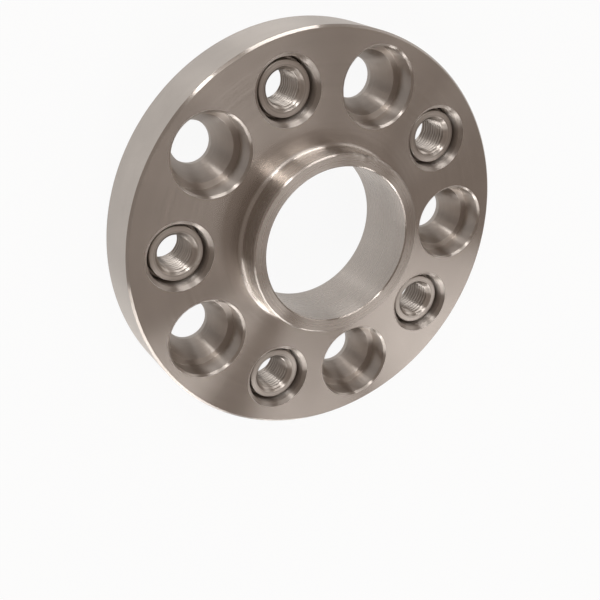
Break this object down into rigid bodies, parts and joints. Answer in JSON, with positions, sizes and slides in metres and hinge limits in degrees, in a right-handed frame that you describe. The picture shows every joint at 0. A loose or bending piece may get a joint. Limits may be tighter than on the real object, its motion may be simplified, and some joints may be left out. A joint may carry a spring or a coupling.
{
  "type": "wheel spacer",
  "caption": "Hub-centric bolt-on wheel spacer: machined flange with hub ring, stepped bolt holes and pressed-in threaded inserts.",
  "frame": {"origin": "centre of the bore at the face that sits against the hub", "axes": "+Z along the bore's axis, from the hub towards the wheel; +X through the first bolt hole"},
  "size_m": [0.149, 0.149, 0.0295],
  "materials": {
    "machined_aluminium": "turned, fine concentric tool marks",
    "insert_steel": "turned, bright zinc plate"
  },
  "bodies": {
    "root": {"flange_body": "machined_aluminium", "threaded_insert_1": "insert_steel", "threaded_insert_2": "insert_steel", "threaded_insert_3": "insert_steel", "threaded_insert_4": "insert_steel", "threaded_insert_5": "insert_steel"}
  },
  "joints": []
}
